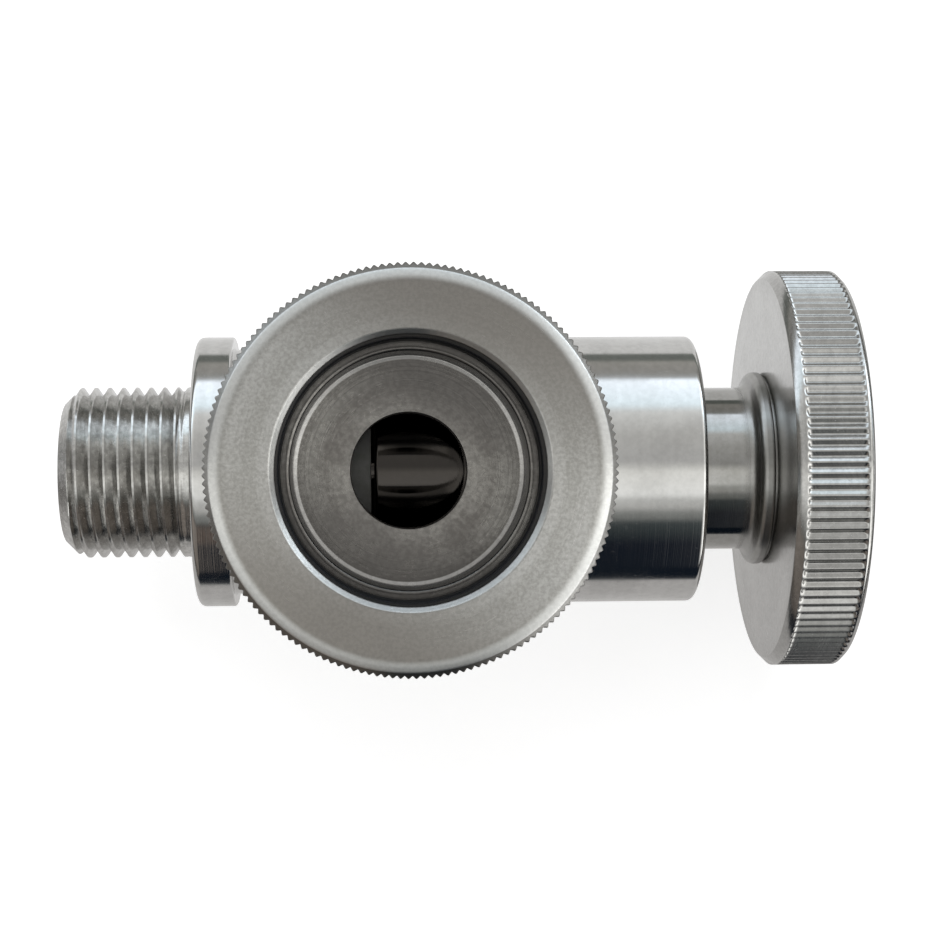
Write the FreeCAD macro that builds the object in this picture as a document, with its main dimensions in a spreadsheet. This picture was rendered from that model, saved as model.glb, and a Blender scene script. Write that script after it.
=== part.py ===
import FreeCAD, Part
import os
import re
import Sketcher

# Level gauge valve, in millimetres.
# The origin is the centre of the collar's sealing face. +X runs from the tank towards the
# handwheel along the stem, and +Z runs up the sight tube.

doc = FreeCAD.newDocument("LevelGaugeValve")

driving_sizes = {
    # tank spigot and collar
    "spigotDia": 16.66,
    "spigotLength": 12.9,
    "spigotChamfer": 1.6,
    "inletBore": 8.0,
    "collarThick": 3.6,
    "collarRound": 0.6,
    # barrel between the collar and the bonnet, with radial walls and gaps outwards from the stem
    "chamberGap": 1.0,
    "bonnetSealWide": 1.4,
    "barrelWall": 2.0,
    "seatSide": 1.85,
    "seatLipHeight": 0.8,
    "seatLipWall": 1.3,
    "portSide": 0.65,
    "bonnetThreadDepth": 7.0,
    "bonnetSealThick": 1.0,
    # upright socket for the sight tube
    "tubeAxis": 20.3,
    "portDia": 10.7,
    "neckStep": 1.6,
    "neckShown": 0.6,
    "socketDepth": 6.8,
    "socketRound": 0.4,
    "socketWall": 2.55,
    "socketChamfer": 0.6,
    "socketRimChamfer": 0.3,
    # ring nut, its slip washer and the rubber ring
    "nutWall": 4.6,
    "nutHeight": 15.0,
    "nutLip": 3.8,
    "nutLipReach": 1.6,
    "nutBoreChamfer": 0.6,
    "nutTopChamfer": 1.2,
    "nutFootChamfer": 0.6,
    "nutTeeth": 164,
    "nutToothDepth": 0.45,
    "gasketProud": 0.15,
    "slipWasherThick": 0.8,
    # bonnet, with radial walls outwards from the stem
    "glandSeatWide": 1.5,
    "bonnetWall": 2.5,
    "collarStep": 0.1,
    "bonnetRound": 0.5,
    "bonnetFootChamfer": 0.3,
    "bonnetThreadReach": 2.4,
    "bonnetEdge": 0.7,
    "travelLength": 6.6,
    "glandClipThick": 0.8,
    "glandClipDeep": 0.6,
    "glandClipWide": 2.0,
    "glandClipSpan": 316.0,
    "glandLugHole": 1.0,
    # guide bush and the round seals of the gland
    "ringSection": 1.2,
    "ringGrooveWide": 1.4,
    "innerGroovePlace": 0.8,
    "bushRib": 0.2,
    "bushEnd": 0.7,
    # stem
    "stemDia": 16.0,
    "stemThreadStep": 0.4,
    "stemThreadLead": 9.5,
    "plungerStep": 0.6,
    "plungerChamfer": 0.4,
    "stopStep": 0.8,
    "stopThick": 1.0,
    "stemShown": 7.1,
    "shoulderStep": 1.5,
    "shoulderLip": 0.2,
    "shoulderThick": 1.5,
    "stemEndDia": 8.0,
    "stemEndLength": 2.6,
    "tapDepth": 11.0,
    # soft seal and its swivel carrier
    "discRim": 2.0,
    "discThick": 3.7,
    "discChamfer": 0.3,
    "discStudDia": 3.0,
    "carrierFlangeThick": 0.8,
    "carrierShankDia": 4.9,
    "carrierShankLength": 9.8,
    "discWasherDia": 6.6,
    "discWasherThick": 0.6,
    "discNutFlats": 5.5,
    "discNutThick": 2.4,
    "studProud": 0.5,
    "carrierClipPlace": 5.2,
    "carrierClipThick": 0.8,
    "carrierClipDia": 5.8,
    "carrierClipBore": 3.9,
    "carrierClipSpan": 320.0,
    # handwheel
    "wheelDia": 39.0,
    "wheelThick": 7.1,
    "wheelInnerChamfer": 0.9,
    "wheelOuterChamfer": 0.55,
    "wheelFlutes": 120,
    "fluteDia": 0.86,
    "fluteDepth": 0.36,
    "screwDia": 6.0,
    "screwHeadDia": 11.6,
    "screwLength": 12.0,
    "screwSocketFlats": 4.0,
    "screwSocketDepth": 2.2,
    "pinDia": 2.5,
    "pinWall": 0.35,
    "pinDepth": 2.6,
    # clearances
    "turnFit": 0.05,
    "seatFit": 0.02,
    "endGap": 0.1,
    "discGap": 0.3,
    "stopGap": 0.3,
    "screwGap": 0.3,
    "lugGap": 0.2,
    "nutGap": 0.8,
}

# Diameters and places that follow from the driving sizes.
worked_out_sizes = {
    "stemThreadDia": "=stemDia - stemThreadStep * 2",
    "plungerDia": "=stemThreadDia - plungerStep * 2",
    "chamberDia": "=stemThreadDia + chamberGap * 2",
    "bonnetThreadDia": "=chamberDia + bonnetSealWide * 2",
    "waistDia": "=bonnetThreadDia + barrelWall * 2",
    "stopDia": "=stemDia + stopStep * 2",
    "travelDia": "=stopDia + stopGap * 2",
    "glandDia": "=travelDia + glandSeatWide * 2",
    "bonnetDia": "=glandDia + bonnetWall * 2",
    "collarDia": "=bonnetDia + collarStep * 2",
    "glandLugDia": "=(glandDia - stemDia) / 2 - lugGap",
    "shoulderDia": "=stemDia + shoulderStep * 2",
    "shoulderFillet": "=shoulderStep - shoulderLip",
    "discDia": "=plungerDia",
    "carrierFlangeDia": "=discDia - discRim * 2",
    "screwHoleDia": "=screwDia + screwGap * 2",
    "pinCircleDia": "=stemEndDia + pinDia + pinWall * 2",
    "socketThreadDia": "=collarDia",
    "tubeRecessDia": "=socketThreadDia - socketWall * 2",
    "socketNeckDia": "=socketThreadDia - neckStep * 2",
    "nutDia": "=socketThreadDia + nutWall * 2",
    "nutBore": "=socketThreadDia - nutLipReach * 2",
    "gasketBore": "=nutBore - gasketProud * 2",
    "seatPlace": "=tubeAxis - portDia / 2 - seatSide",
    "chamberEnd": "=seatPlace - seatLipHeight",
    "threadShoulder": "=tubeAxis + portDia / 2 + portSide",
    "barrelLength": "=threadShoulder + bonnetThreadDepth",
    "bonnetFoot": "=threadShoulder + bonnetSealThick",
    "travelStart": "=barrelLength + bonnetThreadReach",
    "glandSeat": "=travelStart + travelLength",
    "outerGroovePlace": "=innerGroovePlace + ringGrooveWide + bushRib",
    "glandLength": "=outerGroovePlace + ringGrooveWide + bushEnd",
    "glandClipPlace": "=glandSeat + glandLength",
    "bonnetEnd": "=glandClipPlace + glandClipThick + bonnetEdge",
    "wheelFace": "=bonnetEnd + stemShown",
    "discBack": "=seatPlace + discThick",
    "stemTip": "=discBack + discGap",
    "stemThreadStart": "=travelStart - stemThreadLead",
    "stopFoot": "=travelStart + endGap",
    "carrierEnd": "=discBack + carrierShankLength",
    "shankBoreEnd": "=carrierEnd + endGap",
    "clipFoot": "=stemTip + carrierClipPlace",
    "nutBottom": "=collarDia / 2 + nutGap",
    "socketFloor": "=nutBottom",
    "socketNeckTop": "=nutBottom + neckShown",
    "socketRim": "=socketFloor + socketDepth",
    "nutLipFoot": "=nutBottom + nutHeight - nutLip",
    "slipWasherFoot": "=nutLipFoot - slipWasherThick",
    "gasketHeight": "=slipWasherFoot - socketRim",
    "headDepth": "=(screwHeadDia - screwDia) / 2",
}

sheet = doc.addObject("Spreadsheet::Sheet", "Sizes")
all_sizes = driving_sizes | worked_out_sizes
sheet_words = set(all_sizes)
for row, (word, value) in enumerate(all_sizes.items(), start=1):
    sheet.set(f"A{row}", word)
    sheet.set(f"B{row}", str(value))
    sheet.setAlias(f"B{row}", word)
doc.recompute()


def sheet_name(found):
    word = found.group()
    return f"Sizes.{word}" if word in sheet_words else word


def on_sheet(formula):
    """A formula in which each size of the sheet stands as its bare word, as an expression."""
    return re.sub(r"[A-Za-z]+", sheet_name, formula)


def bind(owner, path, formula):
    owner.setExpression(path, on_sheet(formula))


def worth(formula):
    return float(sheet.evalExpression(on_sheet(formula)))


def new_body(label, along="0", up="0"):
    body = doc.addObject("PartDesign::Body", label)
    body.Label = label
    bind(body, "Placement.Base.x", along)
    bind(body, "Placement.Base.z", up)
    return body


def origin_item(body, role):
    return next(item for item in body.Origin.OriginFeatures if item.Role == role)


def new_sketch(body, name, plane):
    sketch = body.newObject("Sketcher::SketchObject", name)
    sketch.AttachmentSupport = [(origin_item(body, plane), "")]
    sketch.MapMode = "FlatFace"
    return sketch


def tie(sketch, geometry, point, across, up):
    """Signed distances from the sketch's origin to a point, bound to formulas."""
    for kind, formula in (("DistanceX", across), ("DistanceY", up)):
        distance = Sketcher.Constraint(kind, -1, 1, geometry, point, worth(formula))
        place = sketch.addConstraint(distance)
        bind(sketch, f"Constraints[{place}]", formula)


def closed_outline(sketch, corners):
    """A closed polygon. Each corner is a pair of formulas, across and up in the sketch."""
    points = [FreeCAD.Vector(worth(across), worth(up), 0) for across, up in corners]
    count = len(corners)
    for i in range(count):
        sketch.addGeometry(Part.LineSegment(points[i], points[(i + 1) % count]), False)
    for i in range(count):
        sketch.addConstraint(Sketcher.Constraint("Coincident", i, 2, (i + 1) % count, 1))
    for i, (across, up) in enumerate(corners):
        tie(sketch, i, 1, across, up)


def circle(sketch, across, up, diameter):
    centre = FreeCAD.Vector(worth(across), worth(up), 0)
    ring = Part.Circle(centre, FreeCAD.Vector(0, 0, 1), worth(half(diameter)))
    place = sketch.addGeometry(ring, False)
    tie(sketch, place, 3, across, up)
    width = sketch.addConstraint(Sketcher.Constraint("Diameter", place, worth(diameter)))
    bind(sketch, f"Constraints[{width}]", diameter)


def turned(body, corners, axis="H_Axis", span="360"):
    """Revolve an outline on the body's XZ plane, about X for H_Axis and about Z for V_Axis."""
    sketch = new_sketch(body, f"{body.Label}_outline", "XZ_Plane")
    closed_outline(sketch, corners)
    feature = body.newObject("PartDesign::Revolution", f"{body.Label}_turned")
    feature.Profile = (sketch, [""])
    feature.ReferenceAxis = (sketch, [axis])
    bind(feature, "Angle", span)
    body.Tip = feature
    sketch.Visibility = False
    return feature


def pocket(body, sketch, depth, backwards=False, both_ways=False):
    feature = body.newObject("PartDesign::Pocket", f"{sketch.Name}_pocket")
    feature.Profile = (sketch, [""])
    feature.Type = "Length"
    bind(feature, "Length", depth)
    feature.Reversed = backwards
    feature.Midplane = both_ways
    body.Tip = feature
    return feature


def around(body, feature, axis, count):
    pattern = body.newObject("PartDesign::PolarPattern", f"{feature.Name}_around")
    pattern.Originals = [feature]
    pattern.Axis = (origin_item(body, axis), [""])
    pattern.Angle = 360
    bind(pattern, "Occurrences", count)
    body.Tip = pattern
    return pattern


def ring_edges(feature, diameter, place, axis):
    """Names of the circular edges of one diameter whose centre lies at a place along the axis."""
    found = []
    for number, edge in enumerate(feature.Shape.Edges, start=1):
        curve = edge.Curve
        if not isinstance(curve, Part.Circle):
            continue
        if abs(curve.Radius - diameter / 2) < 0.001 and abs(curve.Center[axis] - place) < 0.001:
            found.append(f"Edge{number}")
    return found


def rounded(body, feature, diameter, place, radius, axis=0):
    """Round the circular edge that has this diameter and place, with a radius of the sheet."""
    doc.recompute()
    fillet = body.newObject("PartDesign::Fillet", f"{feature.Name}_round")
    fillet.Base = (feature, ring_edges(feature, diameter, place, axis))
    bind(fillet, "Radius", radius)
    body.Tip = fillet
    return fillet


def half(word):
    return f"{word} / 2"


def size(word):
    return float(sheet.get(word))


# Turned barrel: tank spigot, collar, waist, inlet, seat lip, chamber and bonnet thread.
valve_body = new_body("valve_body")
barrel = turned(valve_body, [
    ("0 - spigotLength", half("inletBore")),
    ("0 - spigotLength", "spigotDia / 2 - spigotChamfer"),
    ("spigotChamfer - spigotLength", half("spigotDia")),
    ("0", half("spigotDia")),
    ("0", half("collarDia")),
    ("collarThick", half("collarDia")),
    ("collarThick", half("waistDia")),
    ("barrelLength", half("waistDia")),
    ("barrelLength", half("bonnetThreadDia")),
    ("threadShoulder", half("bonnetThreadDia")),
    ("threadShoulder", half("chamberDia")),
    ("chamberEnd", half("chamberDia")),
    ("chamberEnd", "inletBore / 2 + seatLipWall"),
    ("seatPlace", "inletBore / 2 + seatLipWall"),
    ("seatPlace", half("inletBore")),
])
barrel = rounded(valve_body, barrel, size("collarDia"), 0, "collarRound")
port = new_sketch(valve_body, "port", "XY_Plane")
circle(port, "tubeAxis", "0", "portDia")
pocket(valve_body, port, half("waistDia"), backwards=True)

# Upright socket, coped to sit on the waist.
tube_socket = new_body("tube_socket", along="tubeAxis")
socket = turned(tube_socket, [
    (half("portDia"), "0"),
    (half("socketNeckDia"), "0"),
    (half("socketNeckDia"), "socketNeckTop"),
    ("socketThreadDia / 2 - socketChamfer", "socketNeckTop"),
    (half("socketThreadDia"), "socketNeckTop + socketChamfer"),
    (half("socketThreadDia"), "socketRim - socketChamfer"),
    ("socketThreadDia / 2 - socketChamfer", "socketRim"),
    ("tubeRecessDia / 2 + socketRimChamfer", "socketRim"),
    (half("tubeRecessDia"), "socketRim - socketRimChamfer"),
    (half("tubeRecessDia"), "socketFloor"),
    (half("portDia"), "socketFloor"),
], axis="V_Axis")
socket = rounded(tube_socket, socket, size("tubeRecessDia"), size("socketFloor"), "socketRound", axis=2)
saddle = new_sketch(tube_socket, "saddle", "YZ_Plane")
circle(saddle, "0", "0", "waistDia")
pocket(tube_socket, saddle, "socketThreadDia * 2", both_ways=True)

# Bonnet: threaded foot, stem thread, travel space, gland seat and retaining ring groove.
bonnet = new_body("bonnet")
shell = turned(bonnet, [
    ("bonnetFoot", "stemThreadDia / 2 + turnFit"),
    ("bonnetFoot", half("bonnetThreadDia")),
    ("barrelLength", half("bonnetThreadDia")),
    ("barrelLength", "bonnetDia / 2 - bonnetFootChamfer"),
    ("barrelLength + bonnetFootChamfer", half("bonnetDia")),
    ("bonnetEnd", half("bonnetDia")),
    ("bonnetEnd", half("glandDia")),
    ("glandClipPlace + glandClipThick", half("glandDia")),
    ("glandClipPlace + glandClipThick", "glandDia / 2 + glandClipDeep"),
    ("glandClipPlace", "glandDia / 2 + glandClipDeep"),
    ("glandClipPlace", half("glandDia")),
    ("glandSeat", half("glandDia")),
    ("glandSeat", half("travelDia")),
    ("travelStart", half("travelDia")),
    ("travelStart", "stemThreadDia / 2 + turnFit"),
])
rounded(bonnet, shell, size("bonnetDia"), size("bonnetEnd"), "bonnetRound")

# Flat ring between the barrel's inner shoulder and the bonnet's foot.
turned(new_body("bonnet_seal", along="threadShoulder"), [
    ("0", half("chamberDia")),
    ("0", "bonnetThreadDia / 2 - turnFit"),
    ("bonnetSealThick", "bonnetThreadDia / 2 - turnFit"),
    ("bonnetSealThick", half("chamberDia")),
])

# Guide bush with one ring groove inside and one outside. It also stops the stem's travel.
turned(new_body("gland_bush", along="glandSeat"), [
    ("0", "stemDia / 2 + turnFit"),
    ("0", "glandDia / 2 - seatFit"),
    ("outerGroovePlace", "glandDia / 2 - seatFit"),
    ("outerGroovePlace", "glandDia / 2 - ringSection - turnFit"),
    ("outerGroovePlace + ringGrooveWide", "glandDia / 2 - ringSection - turnFit"),
    ("outerGroovePlace + ringGrooveWide", "glandDia / 2 - seatFit"),
    ("glandLength", "glandDia / 2 - seatFit"),
    ("glandLength", "stemDia / 2 + turnFit"),
    ("innerGroovePlace + ringGrooveWide", "stemDia / 2 + turnFit"),
    ("innerGroovePlace + ringGrooveWide", "stemDia / 2 + ringSection + turnFit"),
    ("innerGroovePlace", "stemDia / 2 + ringSection + turnFit"),
    ("innerGroovePlace", "stemDia / 2 + turnFit"),
])


def seal_ring(label, middle_radius, along):
    """A round rubber ring about the stem's axis."""
    ring = doc.addObject("Part::Torus", label)
    ring.Label = label
    bind(ring, "Radius1", middle_radius)
    bind(ring, "Radius2", "ringSection / 2")
    ring.Placement = FreeCAD.Placement(FreeCAD.Vector(), FreeCAD.Rotation(FreeCAD.Vector(0, 1, 0), 90))
    bind(ring, "Placement.Base.x", along)
    return ring


seal_ring(
    "stem_o_ring",
    "stemDia / 2 + seatFit + ringSection / 2",
    "glandSeat + innerGroovePlace + ringGrooveWide / 2",
)
seal_ring(
    "gland_o_ring",
    "glandDia / 2 - seatFit - ringSection / 2",
    "glandSeat + outerGroovePlace + ringGrooveWide / 2",
)


def split_ring(label, along, inner, outer, thick, span):
    """A flat wire ring that is open over the rest of its span, turned so that its gap is below."""
    body = new_body(label, along=along)
    feature = turned(body, [("0", inner), ("0", outer), (thick, outer), (thick, inner)], span=span)
    feature.Midplane = True
    return body


# Retaining ring with a drilled lug at each end of its gap.
gland_circlip = split_ring(
    "gland_circlip",
    "glandClipPlace",
    "glandDia / 2 + glandClipDeep - glandClipWide",
    "glandDia / 2 + glandClipDeep - turnFit",
    "glandClipThick",
    "glandClipSpan",
)
lug_reach = "(glandDia / 2 - glandLugDia / 2)"
for side in ("", "0 - "):
    lug_across = f"{side}{lug_reach} * sin(glandClipSpan / 2 * 1 deg)"
    lug_up = f"{lug_reach} * cos(glandClipSpan / 2 * 1 deg)"
    lug = new_sketch(gland_circlip, "lug", "YZ_Plane")
    circle(lug, lug_across, lug_up, "glandLugDia")
    lug_pad = gland_circlip.newObject("PartDesign::Pad", "lug_pad")
    lug_pad.Profile = (lug, [""])
    bind(lug_pad, "Length", "glandClipThick")
    gland_circlip.Tip = lug_pad
    lug_hole = new_sketch(gland_circlip, "lug_hole", "YZ_Plane")
    circle(lug_hole, lug_across, lug_up, "glandLugHole")
    pocket(gland_circlip, lug_hole, "glandClipThick", backwards=True)

# Stem: plunger, thread, stop collar, polished rod, flared shoulder and screwed end.
stem = new_body("stem")
rod = turned(stem, [
    ("stemTip", "carrierShankDia / 2 + turnFit"),
    ("stemTip", "plungerDia / 2 - plungerChamfer"),
    ("stemTip + plungerChamfer", half("plungerDia")),
    ("stemThreadStart", half("plungerDia")),
    ("stemThreadStart", half("stemThreadDia")),
    ("stopFoot", half("stemThreadDia")),
    ("stopFoot", half("stopDia")),
    ("stopFoot + stopThick", half("stopDia")),
    ("stopFoot + stopThick", half("stemDia")),
    ("wheelFace - shoulderThick", half("stemDia")),
    ("wheelFace - shoulderThick", half("shoulderDia")),
    ("wheelFace", half("shoulderDia")),
    ("wheelFace", half("stemEndDia")),
    ("wheelFace + stemEndLength", half("stemEndDia")),
    ("wheelFace + stemEndLength", half("screwDia")),
    ("wheelFace - tapDepth", half("screwDia")),
    ("wheelFace - tapDepth", "0"),
    ("shankBoreEnd", "0"),
    ("shankBoreEnd", "carrierShankDia / 2 + turnFit"),
    ("clipFoot + carrierClipThick + endGap * 2", "carrierShankDia / 2 + turnFit"),
    ("clipFoot + carrierClipThick + endGap * 2", "carrierClipDia / 2 + endGap"),
    ("clipFoot", "carrierClipDia / 2 + endGap"),
    ("clipFoot", "carrierShankDia / 2 + turnFit"),
])
rod = rounded(
    stem,
    rod,
    size("stemDia"),
    size("wheelFace") - size("shoulderThick"),
    "shoulderFillet",
)


def pin_sockets(body, along, backwards):
    """Two blind holes for the drive pins, in a face square to the stem."""
    sketch = new_sketch(body, "pin_socket", "YZ_Plane")
    bind(sketch, "AttachmentOffset.Base.z", along)
    circle(sketch, "0", "pinCircleDia / 2", "pinDia")
    around(body, pocket(body, sketch, "pinDepth", backwards=backwards), "X_Axis", "2")


pin_sockets(stem, "wheelFace", backwards=False)

# Fluted handwheel, chamfered after fluting so that each flute runs out in the chamfers.
handwheel = new_body("handwheel", along="wheelFace")
turned(handwheel, [
    ("0", half("stemEndDia")),
    ("0", "wheelDia / 2 - wheelInnerChamfer"),
    ("wheelInnerChamfer", half("wheelDia")),
    ("wheelThick - wheelOuterChamfer", half("wheelDia")),
    ("wheelThick", "wheelDia / 2 - wheelOuterChamfer"),
    ("wheelThick", half("screwHeadDia")),
    ("wheelThick - (screwHeadDia - screwHoleDia) / 2", half("screwHoleDia")),
    ("stemEndLength", half("screwHoleDia")),
    ("stemEndLength", half("stemEndDia")),
])
pin_sockets(handwheel, "0", backwards=True)
flute = new_sketch(handwheel, "flute", "YZ_Plane")
circle(flute, "0", "wheelDia / 2 + fluteDia / 2 - fluteDepth", "fluteDia")
around(handwheel, pocket(handwheel, flute, "wheelThick", backwards=True), "X_Axis", "wheelFlutes")

# Two dowels that carry the handwheel's torque to the stem's shoulder.
dowels = []
for number, side in enumerate(("", "0 - "), start=1):
    dowel = doc.addObject("Part::Cylinder", f"dowel_{number}")
    bind(dowel, "Radius", half("pinDia"))
    bind(dowel, "Height", "pinDepth * 2 - endGap")
    dowel.Placement = FreeCAD.Placement(FreeCAD.Vector(), FreeCAD.Rotation(FreeCAD.Vector(0, 1, 0), 90))
    bind(dowel, "Placement.Base.x", "wheelFace - pinDepth + endGap / 2")
    bind(dowel, "Placement.Base.z", f"{side}pinCircleDia / 2")
    dowels.append(dowel)
drive_pins = doc.addObject("Part::Compound", "drive_pins")
drive_pins.Label = "drive_pins"
drive_pins.Links = dowels

# Countersunk screw, flush with the handwheel's outer face.
handwheel_screw = new_body("handwheel_screw", along="wheelFace + wheelThick")
turned(handwheel_screw, [
    ("0", "0"),
    ("0", half("screwHeadDia")),
    ("0 - headDepth", half("screwDia")),
    ("0 - screwLength", half("screwDia")),
    ("0 - screwLength", "0"),
])
key = new_sketch(handwheel_screw, "key", "YZ_Plane")
key_corners = []
for i in range(6):
    key_corners.append((
        f"screwSocketFlats / cos(30 deg) / 2 * cos({60 * i} deg)",
        f"screwSocketFlats / cos(30 deg) / 2 * sin({60 * i} deg)",
    ))
closed_outline(key, key_corners)
pocket(handwheel_screw, key, "screwSocketDepth")

# Soft disc with a recess for the carrier's flange.
turned(new_body("seal_disc", along="seatPlace"), [
    ("0", "discStudDia / 2 + turnFit"),
    ("0", "discDia / 2 - discChamfer"),
    ("discChamfer", half("discDia")),
    ("discThick", half("discDia")),
    ("discThick", "carrierFlangeDia / 2 + turnFit"),
    ("discThick - carrierFlangeThick", "carrierFlangeDia / 2 + turnFit"),
    ("discThick - carrierFlangeThick", "discStudDia / 2 + turnFit"),
])

# Swivel carrier: stud through the disc, flange behind it and grooved shank in the stem.
turned(new_body("disc_carrier"), [
    ("seatPlace - discWasherThick - discNutThick - studProud", "0"),
    ("seatPlace - discWasherThick - discNutThick - studProud", half("discStudDia")),
    ("discBack - carrierFlangeThick", half("discStudDia")),
    ("discBack - carrierFlangeThick", half("carrierFlangeDia")),
    ("discBack", half("carrierFlangeDia")),
    ("discBack", half("carrierShankDia")),
    ("clipFoot + endGap", half("carrierShankDia")),
    ("clipFoot + endGap", "carrierClipBore / 2 - turnFit"),
    ("clipFoot + endGap + carrierClipThick", "carrierClipBore / 2 - turnFit"),
    ("clipFoot + endGap + carrierClipThick", half("carrierShankDia")),
    ("carrierEnd", half("carrierShankDia")),
    ("carrierEnd", "0"),
])
split_ring(
    "carrier_clip",
    "clipFoot + endGap",
    half("carrierClipBore"),
    half("carrierClipDia"),
    "carrierClipThick",
    "carrierClipSpan",
)
turned(new_body("disc_washer", along="seatPlace - discWasherThick"), [
    ("0", "discStudDia / 2 + turnFit"),
    ("0", half("discWasherDia")),
    ("discWasherThick", half("discWasherDia")),
    ("discWasherThick", "discStudDia / 2 + turnFit"),
])

# Hexagon nut on the carrier's stud.
nut_blank = doc.addObject("Part::Prism", "disc_nut_blank")
nut_blank.Polygon = 6
bind(nut_blank, "Circumradius", "discNutFlats / cos(30 deg) / 2")
bind(nut_blank, "Height", "discNutThick")
nut_hole = doc.addObject("Part::Cylinder", "disc_nut_hole")
bind(nut_hole, "Radius", half("discStudDia"))
bind(nut_hole, "Height", "discNutThick")
disc_nut = doc.addObject("Part::Cut", "disc_nut")
disc_nut.Label = "disc_nut"
disc_nut.Base = nut_blank
disc_nut.Tool = nut_hole
disc_nut.Placement = FreeCAD.Placement(FreeCAD.Vector(), FreeCAD.Rotation(FreeCAD.Vector(0, 1, 0), 90))
bind(disc_nut, "Placement.Base.x", "seatPlace - discWasherThick - discNutThick")

# Rubber ring on the socket's rim and the slip washer above it.
turned(new_body("tube_gasket", along="tubeAxis", up="socketRim"), [
    (half("gasketBore"), "0"),
    (half("socketThreadDia"), "0"),
    (half("socketThreadDia"), "gasketHeight"),
    (half("gasketBore"), "gasketHeight"),
], axis="V_Axis")
turned(new_body("slip_washer", along="tubeAxis", up="slipWasherFoot"), [
    (half("nutBore"), "0"),
    (half("socketThreadDia"), "0"),
    (half("socketThreadDia"), "slipWasherThick"),
    (half("nutBore"), "slipWasherThick"),
], axis="V_Axis")

# Knurled ring nut, with straight V teeth that run out in its chamfers.
ring_nut = new_body("ring_nut", along="tubeAxis", up="nutBottom")
turned(ring_nut, [
    ("socketThreadDia / 2 + turnFit", "0"),
    ("nutDia / 2 - nutFootChamfer", "0"),
    (half("nutDia"), "nutFootChamfer"),
    (half("nutDia"), "nutHeight - nutTopChamfer"),
    ("nutDia / 2 - nutTopChamfer", "nutHeight"),
    ("nutBore / 2 + nutBoreChamfer", "nutHeight"),
    (half("nutBore"), "nutHeight - nutBoreChamfer"),
    (half("nutBore"), "nutHeight - nutLip"),
    ("socketThreadDia / 2 + turnFit", "nutHeight - nutLip"),
], axis="V_Axis")
notch = new_sketch(ring_nut, "notch", "XY_Plane")
notch_half = "(nutDia / 2 * tan(180 deg / nutTeeth) * 0.98)"
closed_outline(notch, [
    ("nutDia / 2 - nutToothDepth", "0"),
    ("nutDia / 2 + nutToothDepth", f"0 - 2 * {notch_half}"),
    ("nutDia / 2 + nutToothDepth", f"2 * {notch_half}"),
])
around(ring_nut, pocket(ring_nut, notch, "nutHeight", backwards=True), "Z_Axis", "nutTeeth")

doc.recompute()

node_names = [
    "valve_body", "tube_socket", "bonnet", "bonnet_seal",
    "gland_bush", "stem_o_ring", "gland_o_ring", "gland_circlip",
    "seal_disc", "disc_carrier", "disc_washer", "disc_nut", "carrier_clip",
    "stem", "handwheel", "drive_pins", "handwheel_screw",
    "tube_gasket", "slip_washer", "ring_nut",
]
for item in doc.Objects:
    if "Invalid" in item.State or "Error" in item.State:
        raise RuntimeError(f"{item.Name} failed to build: {item.State}")

os.makedirs("parts", exist_ok=True)
for name in node_names:
    piece = doc.getObjectsByLabel(name)[0]
    if piece.Shape.isNull() or not piece.Shape.isValid():
        raise RuntimeError(f"{name} has no valid shape")
    piece.Shape.exportStep(f"parts/{name}.step")
    box = piece.Shape.BoundBox
    print(
        f"{name}: {len(piece.Shape.Solids)} solid, {piece.Shape.Volume:.1f} mm3, "
        f"x {box.XMin:.2f} to {box.XMax:.2f}, z {box.ZMin:.2f} to {box.ZMax:.2f}"
    )
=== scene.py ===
import math
from types import SimpleNamespace as Sizes

import bpy
from mathutils import Matrix, Vector


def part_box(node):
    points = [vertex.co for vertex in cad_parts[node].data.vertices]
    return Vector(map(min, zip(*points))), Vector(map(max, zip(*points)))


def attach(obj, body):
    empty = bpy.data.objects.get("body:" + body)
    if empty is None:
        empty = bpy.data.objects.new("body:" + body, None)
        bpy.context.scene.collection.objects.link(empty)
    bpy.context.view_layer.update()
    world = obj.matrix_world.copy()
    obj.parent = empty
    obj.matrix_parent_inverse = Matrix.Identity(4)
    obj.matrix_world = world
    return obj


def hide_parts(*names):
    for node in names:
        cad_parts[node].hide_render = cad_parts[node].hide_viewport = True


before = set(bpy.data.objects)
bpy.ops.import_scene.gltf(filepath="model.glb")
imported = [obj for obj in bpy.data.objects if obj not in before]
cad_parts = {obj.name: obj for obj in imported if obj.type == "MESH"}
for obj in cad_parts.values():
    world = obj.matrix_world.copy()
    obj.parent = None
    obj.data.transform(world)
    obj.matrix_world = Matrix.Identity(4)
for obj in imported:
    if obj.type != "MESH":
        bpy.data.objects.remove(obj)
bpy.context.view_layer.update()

# Level gauge valve. Sizes in the dictionaries are millimetres unless a name or note says otherwise.
# +X runs from the tank to the handwheel, +Z up the sight tube.
mm = 0.001
tau = 2 * math.pi
socketReach = 13.2  # from the tube's axis to the outside of its socket
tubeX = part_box("tube_socket")[0].x / mm + socketReach
aroundBarrel = {"place": (0, 0, 0), "turn": (0, 0, 0)}
aroundTube = {"place": (tubeX * mm, 0, 0), "turn": (0, -math.pi / 2, 0)}


def newItem(name, data):
    item = bpy.data.objects.new(name, data)
    bpy.context.scene.collection.objects.link(item)
    return item


def dress(mesh, material):
    mesh.materials.clear()
    mesh.materials.append(material)


# Node helpers, for shader trees and geometry trees alike
def addNode(tree, kind, **settings):
    node = tree.nodes.new(kind)
    for word, value in settings.items():
        setattr(node, word, value)
    return node


def feed(socket, value):
    if isinstance(value, bpy.types.NodeSocket):
        socket.id_data.links.new(value, socket)
    elif value is not None:
        socket.default_value = value


def calc(tree, operation, first, second=None, third=None):
    node = addNode(tree, "ShaderNodeMath", operation=operation)
    for place, value in enumerate((first, second, third)):
        feed(node.inputs[place], value)
    return node.outputs[0]


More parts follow.
